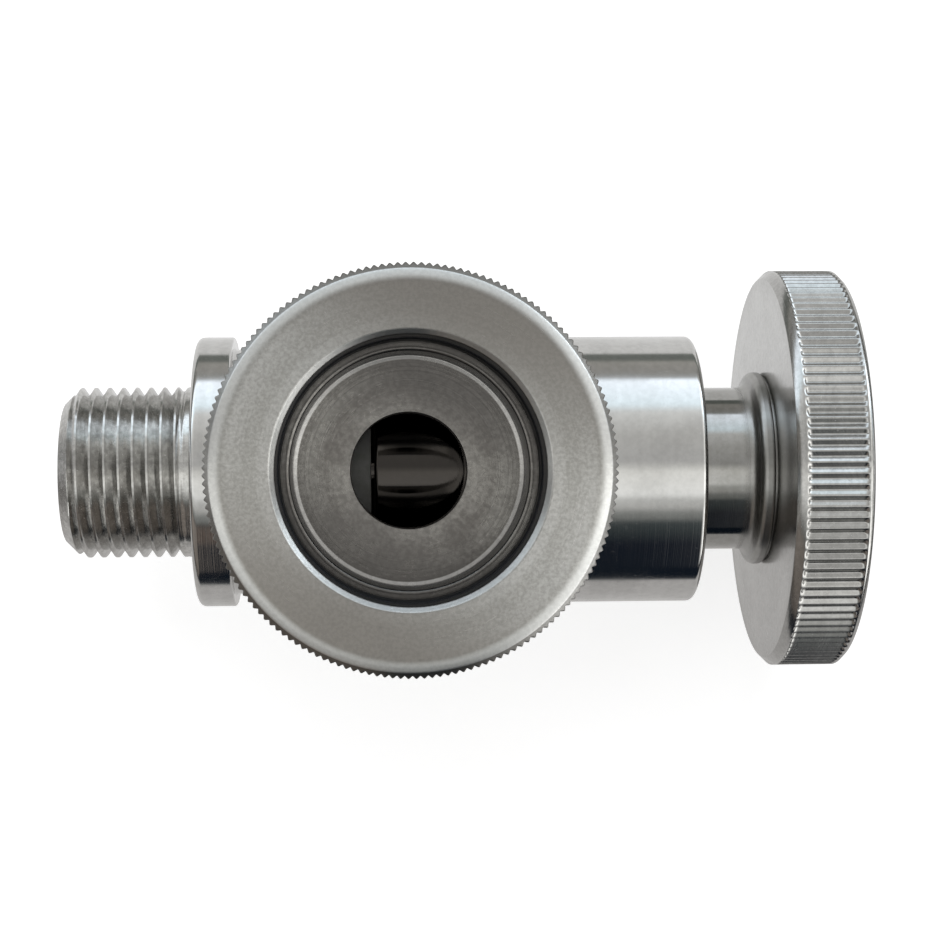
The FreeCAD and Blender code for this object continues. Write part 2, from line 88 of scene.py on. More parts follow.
def ramp(tree, value, low, high, toLow=0.0, toHigh=1.0, smooth=True):
    kind = "SMOOTHSTEP" if smooth else "LINEAR"
    node = addNode(tree, "ShaderNodeMapRange", interpolation_type=kind, clamp=True)
    for place, part in enumerate((value, low, high, toLow, toHigh)):
        feed(node.inputs[place], part)
    return node.outputs[0]


def fade(tree, value, low, high):
    return ramp(tree, value, low, high, 1.0, 0.0)


def split(tree, vector):
    node = addNode(tree, "ShaderNodeSeparateXYZ")
    feed(node.inputs[0], vector)
    return node.outputs


def noise(tree, vector, scale, detail=2.0, roughness=0.5):
    node = addNode(tree, "ShaderNodeTexNoise", noise_dimensions="3D")
    feed(node.inputs["Vector"], vector)
    feed(node.inputs["Scale"], scale)
    feed(node.inputs["Detail"], detail)
    feed(node.inputs["Roughness"], roughness)
    return node.outputs[0]


def lineNoise(tree, along, scale, detail=1.0):
    node = addNode(tree, "ShaderNodeTexNoise", noise_dimensions="1D")
    feed(node.inputs["W"], along)
    feed(node.inputs["Scale"], scale)
    feed(node.inputs["Detail"], detail)
    return node.outputs[0]


def newTree(name, kind, takes, gives):
    # Sockets are listed by their kind. A length is a float in metres.
    tree = bpy.data.node_groups.new(name, kind)
    for way, sockets in (("INPUT", takes), ("OUTPUT", gives)):
        for socketKind, words in sockets.items():
            for word in words.split():
                typeName = "NodeSocket" + socketKind.replace("Length", "Float")
                socket = tree.interface.new_socket(word, in_out=way, socket_type=typeName)
                if socketKind == "Length":
                    socket.subtype = "DISTANCE"
    return tree, tree.nodes.new("NodeGroupInput").outputs, tree.nodes.new("NodeGroupOutput").inputs


# Effects that several finishes share
def turningLinesGroup():
    # Fine grooves from the lathe: along the axis on round faces, along the radius on end faces.
    tree, given, made = newTree(
        "turning lines", "ShaderNodeTree",
        {"Vector": "vector", "Float": "linesPerMm"}, {"Float": "fine wide radius"},
    )
    radiusShare, wideShare = 0.87, 0.12
    x, y, z = split(tree, given["vector"])
    square = calc(tree, "MULTIPLY", y, y)
    radius = calc(tree, "SQRT", calc(tree, "MULTIPLY_ADD", z, z, square))
    along = calc(tree, "MULTIPLY_ADD", radius, radiusShare, x)
    scale = calc(tree, "MULTIPLY", given["linesPerMm"], 1000)
    feed(made["fine"], lineNoise(tree, along, scale, 2.0))
    feed(made["wide"], lineNoise(tree, along, calc(tree, "MULTIPLY", scale, wideShare)))
    feed(made["radius"], radius)
    return tree


def handlingGroup():
    # Faint smears and prints left by hands, and small dull specks.
    tree, given, made = newTree(
        "handling", "ShaderNodeTree",
        {"Vector": "vector", "Float": "size"}, {"Float": "smear speck"},
    )
    specksPerSmear, smearSpan, speckSpan = 22, (0.38, 0.68), (0.66, 0.76)
    scale = calc(tree, "DIVIDE", 1000, given["size"])
    cloud = noise(tree, given["vector"], scale, detail=4.0, roughness=0.6)
    feed(made["smear"], ramp(tree, cloud, *smearSpan))
    dots = noise(tree, given["vector"], calc(tree, "MULTIPLY", scale, specksPerSmear))
    feed(made["speck"], ramp(tree, dots, *speckSpan))
    return tree


def scratchGroup():
    # Hairline scratches: thin level lines of a stretched noise, only in patches.
    tree, given, made = newTree(
        "hairline scratches", "ShaderNodeTree",
        {"Vector": "vector", "Float": "width"}, {"Float": "mask"},
    )
    turns, leans, stretch, scale = (0.5, 1.9), (1.0, 0.7, 1.3), (1.0, 0.05, 1.0), 520
    patchScale, patchSpan = 160, (0.52, 0.66)
    masks = []
    for turn in turns:
        mapping = addNode(tree, "ShaderNodeMapping")
        feed(mapping.inputs["Vector"], given["vector"])
        mapping.inputs["Rotation"].default_value = [turn * lean for lean in leans]
        mapping.inputs["Scale"].default_value = stretch
        hills = noise(tree, mapping.outputs[0], scale, detail=0.5)
        level = calc(tree, "ABSOLUTE", calc(tree, "SUBTRACT", hills, 0.5))
        masks.append(fade(tree, level, 0.0, given["width"]))
    patches = ramp(tree, noise(tree, given["vector"], patchScale, detail=1.0), *patchSpan)
    both = calc(tree, "MAXIMUM", masks[0], masks[1])
    feed(made["mask"], calc(tree, "MULTIPLY", both, patches))
    return tree


turningLines = turningLinesGroup()
handling = handlingGroup()
scratches = scratchGroup()
print("node groups built")


def useGroup(tree, group, vector, **values):
    node = addNode(tree, "ShaderNodeGroup", node_tree=group)
    feed(node.inputs["vector"], vector)
    for word, value in values.items():
        node.inputs[word].default_value = value
    return node.outputs


def newMaterial(name):
    material = bpy.data.materials.new(name)
    material.use_nodes = True
    tree = material.node_tree
    return material, tree, tree.nodes["Principled BSDF"]


def startMaterial(name, about=aroundBarrel):
    # The last thing it gives is the place with X along the axis of the piece.
    material, tree, shader = newMaterial(name)
    place = addNode(tree, "ShaderNodeTexCoord").outputs["Object"]
    mapping = addNode(tree, "ShaderNodeMapping", vector_type="TEXTURE")
    feed(mapping.inputs["Vector"], place)
    mapping.inputs["Location"].default_value = about["place"]
    mapping.inputs["Rotation"].default_value = about["turn"]
    return material, tree, shader, mapping.outputs[0]


def mixColour(tree, factor, first, second):
    node = addNode(tree, "ShaderNodeMix", data_type="RGBA")
    feed(node.inputs["Factor"], factor)
    feed(node.inputs[6], first)
    feed(node.inputs[7], second)
    return node.outputs[2]


def addBump(tree, shader, height, strength, distance):
    bump = addNode(tree, "ShaderNodeBump")
    bump.inputs["Strength"].default_value = strength
    bump.inputs["Distance"].default_value = distance
    feed(bump.inputs["Height"], height)
    feed(shader.inputs["Normal"], bump.outputs[0])


# What each effect adds to the dulling, the roughness and the height of all steels
steelShares = {
    "wideDull": 0.35, "grainDull": 0.8, "dullSpan": (0.3, 0.8), "mottleSpan": (0.38, 0.62),
    "fineRough": 0.6, "smearRough": 0.4, "grainRough": 0.5, "hairRough": 0.07, "speckRough": 0.12,
    "wideHeight": 0.6, "hairHeight": 0.25, "hairWidth": 0.006, "grooveDepth": 0.02,
    "ringFade": (-0.03, 0.06), "brushTurn": 0.25,
}


def steel(name, look, about=aroundBarrel):
    s = Sizes(**steelShares)
    material, tree, shader, place = startMaterial(name, about)
    x, y, z = split(tree, place)
    lines = useGroup(tree, turningLines, place, linesPerMm=look["lines"])
    marks = useGroup(tree, handling, place, size=look["smear"])
    hair = useGroup(tree, scratches, place, width=s.hairWidth)["mask"]
    grain = noise(tree, place, look["grain"], detail=3.0, roughness=0.65)
    dull = calc(tree, "MULTIPLY", lines["wide"], s.wideDull)
    dull = calc(tree, "MULTIPLY_ADD", marks["smear"], look["cloud"], dull)
    dull = calc(tree, "MULTIPLY_ADD", grain, s.grainDull - look["cloud"], dull)
    tone = mixColour(tree, ramp(tree, dull, *s.dullSpan), look["tone"], look["dull"])
    # Painted shade: the tone darkens with the distance from a plane through the axis, which leans
    # by the tilt given with it.
    if "paintedSideShade" in look:
        aside = calc(tree, "ABSOLUTE", calc(tree, "MULTIPLY_ADD", z, look["paintedSideShadeTilt"], y))
        tone = mixColour(tree, ramp(tree, aside, *look["paintedSideShadeSpan"]), tone, look["paintedSideShade"])
    # Painted shade on the part that lies inside the barrel or under a screw's head, up to a place
    # along the axis.
    if "paintedInsideShade" in look:
        tone = mixColour(tree, ramp(tree, x, *look["paintedInsideShadeEnd"]), look["paintedInsideShade"], tone)
    # Rings of painted highlight and painted shade, by the radius from the axis.
    for start, full, end, paintedRingTone in look.get("rings", ()):
        inside = fade(tree, lines["radius"], *[(end + more) * mm for more in s.ringFade])
        outside = ramp(tree, lines["radius"], start * mm, full * mm)
        tone = mixColour(tree, calc(tree, "MULTIPLY", inside, outside), tone, paintedRingTone)
    mottle = addNode(tree, "ShaderNodeVectorMath", operation="SCALE")
    feed(mottle.inputs[0], tone)
    most, least = 1 + look["mottle"], 1 - look["mottle"]
    feed(mottle.inputs["Scale"], ramp(tree, grain, *s.mottleSpan, most, least))
    feed(shader.inputs["Base Color"], mottle.outputs[0])
    low, high = look["rough"]
    rough = calc(tree, "MULTIPLY_ADD", lines["fine"], (high - low) * s.fineRough, low)
    rough = calc(tree, "MULTIPLY_ADD", marks["smear"], (high - low) * s.smearRough, rough)
    rough = calc(tree, "MULTIPLY_ADD", hair, s.hairRough, rough)
    rough = calc(tree, "MULTIPLY_ADD", grain, (high - low) * s.grainRough, rough)
    if "soften" in look:
        start, end, more = look["soften"]
        rough = calc(tree, "ADD", rough, ramp(tree, x, start, end, 0.0, more))
    rough = calc(tree, "MULTIPLY_ADD", marks["speck"], s.speckRough, rough)
    feed(shader.inputs["Roughness"], rough)
    shader.inputs["Metallic"].default_value = 1.0
    if "brushed" in look:
        shader.inputs["Anisotropic"].default_value = look["brushed"]
        shader.inputs["Anisotropic Rotation"].default_value = s.brushTurn
        around = addNode(tree, "ShaderNodeTangent", direction_type="RADIAL", axis="Z")
        feed(shader.inputs["Tangent"], around.outputs[0])
    height = calc(tree, "MULTIPLY_ADD", lines["wide"], s.wideHeight, lines["fine"])
    height = calc(tree, "SUBTRACT", height, calc(tree, "MULTIPLY", hair, s.hairHeight))
    height = calc(tree, "MULTIPLY_ADD", grain, look["pits"], height)
    addBump(tree, shader, height, look["bump"], s.grooveDepth * mm)
    return material


# Looks of the steels. Handling and turning lines mix "tone" and "dull". "mottle" is how far the
# fine grain changes the tone, "grain" its scale per metre and "pits" its part in the bump.
# "rough" is the roughness from and to, "lines" the turning lines per mm, "smear" the size of hand
# marks in mm, and "cloud" their part in the dulling.
# Some looks have more. Painted shade on the part inside the barrel, or below a screw's head, ends
# between two places along the axis, and "soften" adds roughness from one place to another, in
# metres. Painted shade towards the +Y and -Y sides sets in with the distance in metres from a plane
# through the axis that leans by the tilt given with it. "rings" are bands of painted highlight and
# painted shade: the radius in mm where each starts, is full and ends. "brushed" is the anisotropy
# of end faces.
polishedLook = {
    "tone": (0.575, 0.57, 0.56, 1), "dull": (0.51, 0.505, 0.495, 1),
    "mottle": 0.015, "grain": 1500, "pits": 0.3,
    "rough": (0.06, 0.15), "lines": 9.0, "smear": 6.0, "cloud": 0.35, "bump": 0.18,
}
# The rod look's tone is darker than the polished look's: on the stem it is painted shade between
# the bonnet and the handwheel.
rodLook = {
    "tone": (0.365, 0.36, 0.35, 1), "dull": (0.31, 0.305, 0.29, 1),
    "mottle": 0.02, "grain": 1700, "pits": 0.3,
    "rough": (0.045, 0.10), "lines": 12.0, "smear": 5.0, "cloud": 0.3, "bump": 0.13,
}
stemLook = rodLook | {
    # painted shade on the plunger and thread inside the barrel and bonnet, up to 30 to 32 mm along
    # the axis
    "paintedInsideShade": (0.055, 0.05, 0.046, 1), "paintedInsideShadeEnd": (0.030, 0.032), "soften": (0.0522, 0.0534, 0.24),
}
# The screw is darker below 62 mm along the axis, under the face of its head: painted shade.
screwLook = rodLook | {"paintedInsideShade": (0.07, 0.07, 0.07, 1), "paintedInsideShadeEnd": (0.0620, 0.0624)}
satinLook = {
    "tone": (0.425, 0.42, 0.41, 1), "dull": (0.32, 0.315, 0.30, 1),
    "mottle": 0.045, "grain": 3200, "pits": 1.3,
    "rough": (0.24, 0.32), "lines": 7.0, "smear": 9.0, "cloud": 0.1, "bump": 0.4,
    # Painted shade that darkens the nut's face towards the +Y and -Y sides.
    "paintedSideShade": (0.235, 0.222, 0.206, 1), "paintedSideShadeSpan": (0.004, 0.0165), "paintedSideShadeTilt": -0.4,
    # The rings paint the nut's bore near-black as painted shade, and add painted highlights on the
    # bore's chamfer and round the face's outer edge.
    "rings": [
        (-1, 0, 11.62, (0.03, 0.033, 0.04, 1)),
        (11.66, 11.74, 12.08, (0.46, 0.46, 0.45, 1)),
        (16.1, 16.75, 17.24, (0.57, 0.57, 0.56, 1)),
    ],
    "brushed": 0.9,
}
threadLook = {
    "tone": (0.55, 0.545, 0.53, 1), "dull": (0.42, 0.41, 0.395, 1),
    "mottle": 0.07, "grain": 1900, "pits": 0.8,
    "rough": (0.13, 0.22), "lines": 16.0, "smear": 3.0, "cloud": 0.3, "bump": 0.35,
}
wheelLook = {
    "tone": (0.455, 0.45, 0.44, 1), "dull": (0.385, 0.38, 0.37, 1),
    "mottle": 0.03, "grain": 2100, "pits": 0.8,
    "rough": (0.13, 0.20), "lines": 4.0, "smear": 6.0, "cloud": 0.15, "bump": 0.2,
}
seatLook = {
    "tone": (0.27, 0.26, 0.245, 1), "dull": (0.17, 0.16, 0.15, 1),
    "mottle": 0.06, "grain": 2200, "pits": 0.9,
    "rough": (0.20, 0.32), "lines": 5.5, "smear": 6.0, "cloud": 0.2, "bump": 0.5,
    # The rings paint a highlight on the dish's rounded edge and shade in the recess round it.
    "rings": [
        (10.22, 10.32, 10.56, (0.40, 0.39, 0.38, 1)),
        (10.6, 10.66, 10.72, (0.12, 0.12, 0.12, 1)),
    ],
    # Painted shade that darkens the dish towards the +Y and -Y sides.
    "paintedSideShade": (0.15, 0.142, 0.135, 1), "paintedSideShadeSpan": (0.002, 0.010), "paintedSideShadeTilt": -0.4,
    "brushed": 0.7,
}
# Here "smeared" is the tone of the hand marks, and "grain" and "lines" give the bump.
rubberLook = {
    "tone": (0.006, 0.007, 0.009, 1), "smeared": (0.014, 0.015, 0.017, 1), "smear": 2.5,
    "rough": (0.5, 0.68), "shine": 0.22, "grain": 5200, "bump": 0.25, "bumpDepth": 0.05,
}
plasticLook = {"smear": 2.0, "lines": 5.0, "lineRough": 0.15, "bump": 0.3, "bumpDepth": 0.03}


def rubber(name, look, about):
    material, tree, shader, place = startMaterial(name, about)
    smear = useGroup(tree, handling, place, size=look["smear"])["smear"]
    feed(shader.inputs["Base Color"], mixColour(tree, smear, look["tone"], look["smeared"]))
    feed(shader.inputs["Roughness"], ramp(tree, smear, 0, 1, *look["rough"]))
    shader.inputs["Specular IOR Level"].default_value = look["shine"]
    grain = noise(tree, place, look["grain"], detail=3.0)
    addBump(tree, shader, grain, look["bump"], look["bumpDepth"] * mm)
    return material


def mouldedPlastic(name, look, tone, smeared, rough):
    material, tree, shader, place = startMaterial(name)
    smear = useGroup(tree, handling, place, size=look["smear"])["smear"]
    fine = useGroup(tree, turningLines, place, linesPerMm=look["lines"])["fine"]
    feed(shader.inputs["Base Color"], mixColour(tree, smear, tone, smeared))
    feed(shader.inputs["Roughness"], calc(tree, "MULTIPLY_ADD", fine, look["lineRough"], rough))
    addBump(tree, shader, fine, look["bump"], look["bumpDepth"] * mm)
    return material


polishedSteel = steel("polished steel", polishedLook)
threadSteel = steel("thread steel", threadLook)
stemSteel = steel("stem steel", stemLook)
satinSteel = steel("satin steel", satinLook, aroundTube)
wheelSteel = steel("handwheel steel", wheelLook)
seatSteel = steel("socket steel", seatLook, aroundTube)
fastenerSteel = steel("fastener steel", rodLook)
screwSteel = steel("screw steel", screwLook)
blackRubber = rubber("black rubber", rubberLook, aroundTube)
ringRubber = rubber("seal ring rubber", rubberLook, aroundBarrel)
paleSeal = mouldedPlastic(
    "pale seal", plasticLook, (0.22, 0.22, 0.21, 1), (0.17, 0.17, 0.155, 1), 0.5,
)
bushPlastic = mouldedPlastic(
    "bush plastic", plasticLook, (0.55, 0.53, 0.47, 1), (0.45, 0.43, 0.38, 1), 0.4,
)
print("materials built")


# Turned pieces
tiny = 1e-6
turned = {"longRun": 1.2, "bandWidth": 0.15, "sharpStep": 0.02, "cutAngle": 25}


def segmentsOf(corners, arcSteps):
    # Each segment is two (along, out) points with their outward normals. A corner with a third
    # number is rounded by that radius.
    flat = [Vector(corner[:2]) for corner in corners]
    area = sum(a.x * b.y - b.x * a.y for a, b in zip(flat, flat[1:] + flat[:1]))
    if area > 0:
        corners = corners[::-1]
    count = len(corners)
    bends = []
    for i in range(count):
        here = Vector(corners[i][:2])
        into = (here - Vector(corners[i - 1][:2])).normalized()
        away = (Vector(corners[(i + 1) % count][:2]) - here).normalized()
        turn = math.atan2(into.x * away.y - into.y * away.x, into.dot(away))
        radius = corners[i][2] if len(corners[i]) > 2 else 0.0
        reach = radius * math.tan(abs(turn) / 2)
        bends.append((here - into * reach, here + away * reach, into, turn, radius))
    segments = []
    for i in range(count):
        start, end, into, turn, radius = bends[i]
        normal = Vector((-into.y, into.x))
        if radius > 0:
            side = 1 if turn < 0 else -1
            centre = start - normal * radius * side
            stations = []
            for step in range(arcSteps + 1):
                bend = turn * step / arcSteps
                spun = Vector((
                    normal.x * math.cos(bend) - normal.y * math.sin(bend),
                    normal.x * math.sin(bend) + normal.y * math.cos(bend),
                ))
                stations.append((centre + spun * radius * side, spun))
            segments += zip(stations, stations[1:])
        nextStart, _, nextInto, _, _ = bends[(i + 1) % count]
        straight = Vector((-nextInto.y, nextInto.x))
        run = nextStart - end
        if run.length > tiny:
            stops = [end, nextStart]
            if run.length > turned["longRun"]:
                # bands near the ends keep a flat face flat when normals are averaged
                step = run.normalized() * turned["bandWidth"]
                stops = [end, end + step, nextStart - step, nextStart]
            for first, second in zip(stops, stops[1:]):
                segments.append(((first, straight), (second, straight)))
    return segments


def onAxis(upright, along, out, angle, shift=1.0):
    # Turns a profile's point about the barrel's axis or, upright, about the tube's. A shift of 0
    # does so for a direction.
    across, beside = out * math.cos(angle), out * math.sin(angle)
    if upright:
        return (across + tubeX * shift, beside, along)
    return (along, across, beside)


def lathe(name, corners, upright=False, columns=256, arcSteps=6):
    segments = segmentsOf(corners, arcSteps)
    rings = len(segments)
    points, ringStart = [], []
    for (spot, _), _ in segments:
        ringStart.append(len(points))
        steps = 1 if spot.y < tiny else columns
        for j in range(steps):
            points.append(onAxis(upright, spot.x, spot.y, tau * j / columns))
    faces, normals, sharp = [], [], set()
    for k, ((spot, normalA), (nextSpot, normalB)) in enumerate(segments):
        following = (k + 1) % rings
        poleA, poleB = spot.y < tiny, nextSpot.y < tiny
        if poleA and poleB:
            continue
        if (segments[k - 1][1][1] - normalA).length > turned["sharpStep"]:
            sharp.add(k)
        for j in range(columns):
            after = (j + 1) % columns
            angle, angleAfter = tau * j / columns, tau * (j + 1) / columns
            here, there = ringStart[k], ringStart[following]
            face = [here] if poleA else [here + j, here + after]
            sides = [(normalA, angle)] if poleA else [(normalA, angle), (normalA, angleAfter)]
            face += [there] if poleB else [there + after, there + j]
            sides += [(normalB, angle)] if poleB else [(normalB, angleAfter), (normalB, angle)]
            faces.append(face)
            normals += [onAxis(upright, n.x, n.y, a, 0) for n, a in sides]
    mesh = bpy.data.meshes.new(name)
    mesh.from_pydata([[part * mm for part in point] for point in points], [], faces)
    mesh.polygons.foreach_set("use_smooth", [True] * len(faces))
    for edge in mesh.edges:
        first, second = edge.vertices
        for k in sharp:
            start = ringStart[k]
            if start <= first < start + columns and start <= second < start + columns:
                edge.use_edge_sharp = True
    mesh.normals_split_custom_set(normals)
    return mesh


def finishPiece(name, mesh, material, body, nodes):
    piece = newItem(name, mesh)
    dress(mesh, material)
    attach(piece, body)
    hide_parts(*nodes)


def evaluatedMesh(piece):
    # The mesh that the modifiers leave, once they are taken off the piece.
    bpy.context.view_layer.update()
    graph = bpy.context.evaluated_depsgraph_get()
    mesh = bpy.data.meshes.new_from_object(piece.evaluated_get(graph))
    piece.modifiers.clear()
    return mesh


def sharpen(mesh, degrees):
    mesh.polygons.foreach_set("use_smooth", [True] * len(mesh.polygons))
    mesh.set_sharp_from_angle(angle=math.radians(degrees))
    return mesh


def cutAway(mesh, cutterMesh):
    piece, cutter = newItem("blank", mesh), newItem("cutter", cutterMesh)
    modifier = piece.modifiers.new("cut", "BOOLEAN")
    modifier.operation = "DIFFERENCE"
    modifier.solver = "EXACT"
    modifier.object = cutter
    cut = evaluatedMesh(piece)
    for item in (piece, cutter):
        bpy.data.objects.remove(item)
    return sharpen(cut, turned["cutAngle"])


def rod(upright, radius, low, high, columns=192):
    return lathe("rod", [(low, 0), (low, radius), (high, radius), (high, 0)], upright, columns)


# Trees that follow a rule
def toothTree(name, upright):
    # Carves straight teeth into a turned rim: no point stays outside the toothed outline.
    tree, given, made = newTree(
        name, "GeometryNodeTree",
        {
            "Geometry": "geometry", "Int": "teeth", "Float": "crestShare rootShare",
            "Length": "radius toothDepth bandStart bandEnd runOut", "Material": "finish",
        },
        {"Geometry": "geometry"},
    )
    x, y, z = split(tree, addNode(tree, "GeometryNodeInputPosition").outputs[0])
    across = calc(tree, "SUBTRACT", x, tubeX * mm) if upright else y
    beside, along = (y, z) if upright else (z, x)
    square = calc(tree, "MULTIPLY", beside, beside)
    radius = calc(tree, "SQRT", calc(tree, "MULTIPLY_ADD", across, across, square))
    turns = calc(tree, "DIVIDE", calc(tree, "ARCTAN2", beside, across), tau)
    toothCount = calc(tree, "MULTIPLY", calc(tree, "ADD", turns, 1.0), given["teeth"])
    wave = calc(tree, "MULTIPLY_ADD", calc(tree, "FRACT", toothCount), 2.0, -1.0)
    wave = calc(tree, "ABSOLUTE", wave)
    flankEnd = calc(tree, "SUBTRACT", 1.0, given["rootShare"])
    root = ramp(tree, wave, given["crestShare"], flankEnd, smooth=False)
    startEnd = calc(tree, "ADD", given["bandStart"], given["runOut"])
    endStart = calc(tree, "SUBTRACT", given["bandEnd"], given["runOut"])
    inBand = calc(
        tree, "MULTIPLY",
        ramp(tree, along, given["bandStart"], startEnd),
        fade(tree, along, endStart, given["bandEnd"]),
    )
    depth = calc(tree, "MULTIPLY", calc(tree, "MULTIPLY", root, inBand), given["toothDepth"])
    limit = calc(tree, "SUBTRACT", given["radius"], depth)
    safeRadius = calc(tree, "MAXIMUM", radius, tiny)
    share = calc(tree, "DIVIDE", calc(tree, "MINIMUM", radius, limit), safeRadius)
    newAcross, newBeside = (calc(tree, "MULTIPLY", item, share) for item in (across, beside))
    if upright:
        sides = (calc(tree, "ADD", newAcross, tubeX * mm), newBeside, along)
    else:
        sides = (along, newAcross, newBeside)
    closeTree(tree, given, made, moveTo(tree, given["geometry"], sides))
    return tree


def moveTo(tree, geometry, sides):
    place = addNode(tree, "ShaderNodeCombineXYZ")
    for socket, side in zip(place.inputs, sides):
        feed(socket, side)
    move = addNode(tree, "GeometryNodeSetPosition")
    feed(move.inputs["Geometry"], geometry)
    feed(move.inputs["Position"], place.outputs[0])
    return move.outputs[0]


def closeTree(tree, given, made, geometry):
    real = addNode(tree, "GeometryNodeRealizeInstances")
    feed(real.inputs[0], geometry)
    paint = addNode(tree, "GeometryNodeSetMaterial")
    feed(paint.inputs["Geometry"], real.outputs[0])
    feed(paint.inputs["Material"], given["finish"])
    feed(made["geometry"], paint.outputs[0])


def threadTree():
    # A tube with a right-hand thread outside. The rows of its grid climb with the thread, and
    # the seam and the ends close where their points meet.
    tree, given, made = newTree(
        "threaded tube", "GeometryNodeTree",
        {
            "Length": "start end threadEnd pitch crestRadius threadDepth boreRadius entryChamfer"
                      " exitChamfer",
            "Int": "turns rowsPerTurn columns", "Vector": "place turn", "Material": "finish",
        },
        {"Geometry": "geometry"},
    )
    crestEnd, rootStart = 0.16, 0.97  # as shares of half a pitch
    runOutShare = 0.7  # of a pitch

    def threadRadius(along, aroundShare):
        # crest radius less the thread's depth, faded out at its end, inside the chamfers
        climb = calc(tree, "SUBTRACT", calc(tree, "DIVIDE", along, given["pitch"]), aroundShare)
        wave = calc(tree, "MULTIPLY_ADD", calc(tree, "FRACT", climb), 2.0, -1.0)
        flank = ramp(tree, calc(tree, "ABSOLUTE", wave), crestEnd, rootStart, smooth=False)
        depth = calc(tree, "MULTIPLY", flank, given["threadDepth"])
        runOut = calc(tree, "MULTIPLY_ADD", given["pitch"], -runOutShare, given["threadEnd"])
        depth = calc(tree, "MULTIPLY", depth, fade(tree, along, runOut, given["threadEnd"]))
        radius = calc(tree, "SUBTRACT", given["crestRadius"], depth)
        fromStart = calc(tree, "SUBTRACT", along, given["start"])
        fromEnd = calc(tree, "SUBTRACT", given["end"], along)
        for distance, chamfer in ((fromStart, "entryChamfer"), (fromEnd, "exitChamfer")):
            cone = calc(tree, "SUBTRACT", given["crestRadius"], given[chamfer])
            radius = calc(tree, "MINIMUM", radius, calc(tree, "ADD", cone, distance))
        return radius

    def spun(grid, along, radius, aroundShare):
        angle = calc(tree, "MULTIPLY", aroundShare, tau)
        across = calc(tree, "MULTIPLY", radius, calc(tree, "COSINE", angle))
        beside = calc(tree, "MULTIPLY", radius, calc(tree, "SINE", angle))
        return moveTo(tree, grid.outputs["Mesh"], (along, across, beside))

    def newGrid(rows):
        grid = addNode(tree, "GeometryNodeMeshGrid")
        feed(grid.inputs["Vertices X"], rows)
        feed(grid.inputs["Vertices Y"], calc(tree, "ADD", given["columns"], 1))
        x, y, _ = split(tree, addNode(tree, "GeometryNodeInputPosition").outputs[0])
        return grid, calc(tree, "ADD", x, 0.5), calc(tree, "ADD", y, 0.5)

    rows = calc(tree, "MULTIPLY_ADD", given["turns"], given["rowsPerTurn"], 1)
    grid, down, aroundShare = newGrid(rows)
    climbed = calc(tree, "ADD", calc(tree, "MULTIPLY_ADD", down, given["turns"], -1.0), aroundShare)
    along = calc(tree, "MULTIPLY_ADD", climbed, given["pitch"], given["start"])
    along = calc(tree, "MAXIMUM", calc(tree, "MINIMUM", along, given["end"]), given["start"])
    flip = addNode(tree, "GeometryNodeFlipFaces")
    radius = threadRadius(along, aroundShare)
    feed(flip.inputs["Mesh"], spun(grid, along, radius, aroundShare))

    grid, down, aroundShare = newGrid(4)  # end face, bore and other end face
    row = calc(tree, "MULTIPLY", down, 3)
    atEnd = calc(tree, "GREATER_THAN", row, 1.5)
    span = calc(tree, "SUBTRACT", given["end"], given["start"])
    along = calc(tree, "MULTIPLY_ADD", atEnd, span, given["start"])
    pastFirst, beforeLast = calc(tree, "GREATER_THAN", row, 0.5), calc(tree, "LESS_THAN", row, 2.5)
    inBore = calc(tree, "MULTIPLY", pastFirst, beforeLast)
    outer = threadRadius(along, aroundShare)
    step = calc(tree, "SUBTRACT", given["boreRadius"], outer)
    closing = spun(grid, along, calc(tree, "MULTIPLY_ADD", inBore, step, outer), aroundShare)

    join = addNode(tree, "GeometryNodeJoinGeometry")
    feed(join.inputs[0], closing)
    feed(join.inputs[0], flip.outputs[0])
    merge = addNode(tree, "GeometryNodeMergeByDistance")
    feed(merge.inputs["Geometry"], join.outputs[0])
    merge.inputs["Distance"].default_value = 2 * tiny
    stand = addNode(tree, "GeometryNodeTransform")
    feed(stand.inputs["Geometry"], merge.outputs[0])
    feed(stand.inputs["Translation"], given["place"])
    feed(stand.inputs["Rotation"], given["turn"])
    closeTree(tree, given, made, stand.outputs[0])
    return tree


def grow(tree, mesh, s, **more):
    # Runs a tree on a mesh and gives the plain mesh that it makes. The tree's inputs have the
    # names of the sizes, or of what is given besides.
    values = vars(s) | more
    piece = newItem(tree.name, mesh)
    modifier = piece.modifiers.new(tree.name, "NODES")
    modifier.node_group = tree
    for item in tree.interface.items_tree:
        if item.in_out == "INPUT" and item.name in values:
            value = values[item.name]
            isLength = getattr(item, "subtype", None) == "DISTANCE"
            modifier[item.identifier] = value * mm if isLength else value
    grown = evaluatedMesh(piece)
    bpy.data.objects.remove(piece)
    return sharpen(grown, s.sharpAngle)


wheelTeeth = toothTree("handwheel flutes", upright=False)
nutTeeth = toothTree("ring nut teeth", upright=True)
threadedTube = threadTree()
print("geometry trees built")


# The barrel, from the tank end to the bonnet
barrel = {
    "spigotStart": -12.9, "threadEnd": -0.9, "crestRadius": 8.33, "threadDepth": 0.8,
    "pitch": 1.337, "turns": 11, "entryChamfer": 1.5, "exitChamfer": 0.0, "rowsPerTurn": 14,
    "columns": 160, "sharpAngle": 40, "boreRadius": 4.0,
    "collarRadius": 13.2, "collarThick": 3.6, "collarRound": 0.65, "collarBackRound": 0.25,
    "waistRadius": 12.0, "waistFillet": 0.3, "length": 33.3, "threadRadius": 10.0, "shoulder": 26.3,
    "chamberRadius": 8.6, "chamberStart": 12.3, "chamberFillet": 0.5, "lipRadius": 5.3,
    "lipRound": 0.2, "seatPlace": 13.1, "portRadius": 5.35, "portStart": 4.0, "portEnd": 13.0,
}


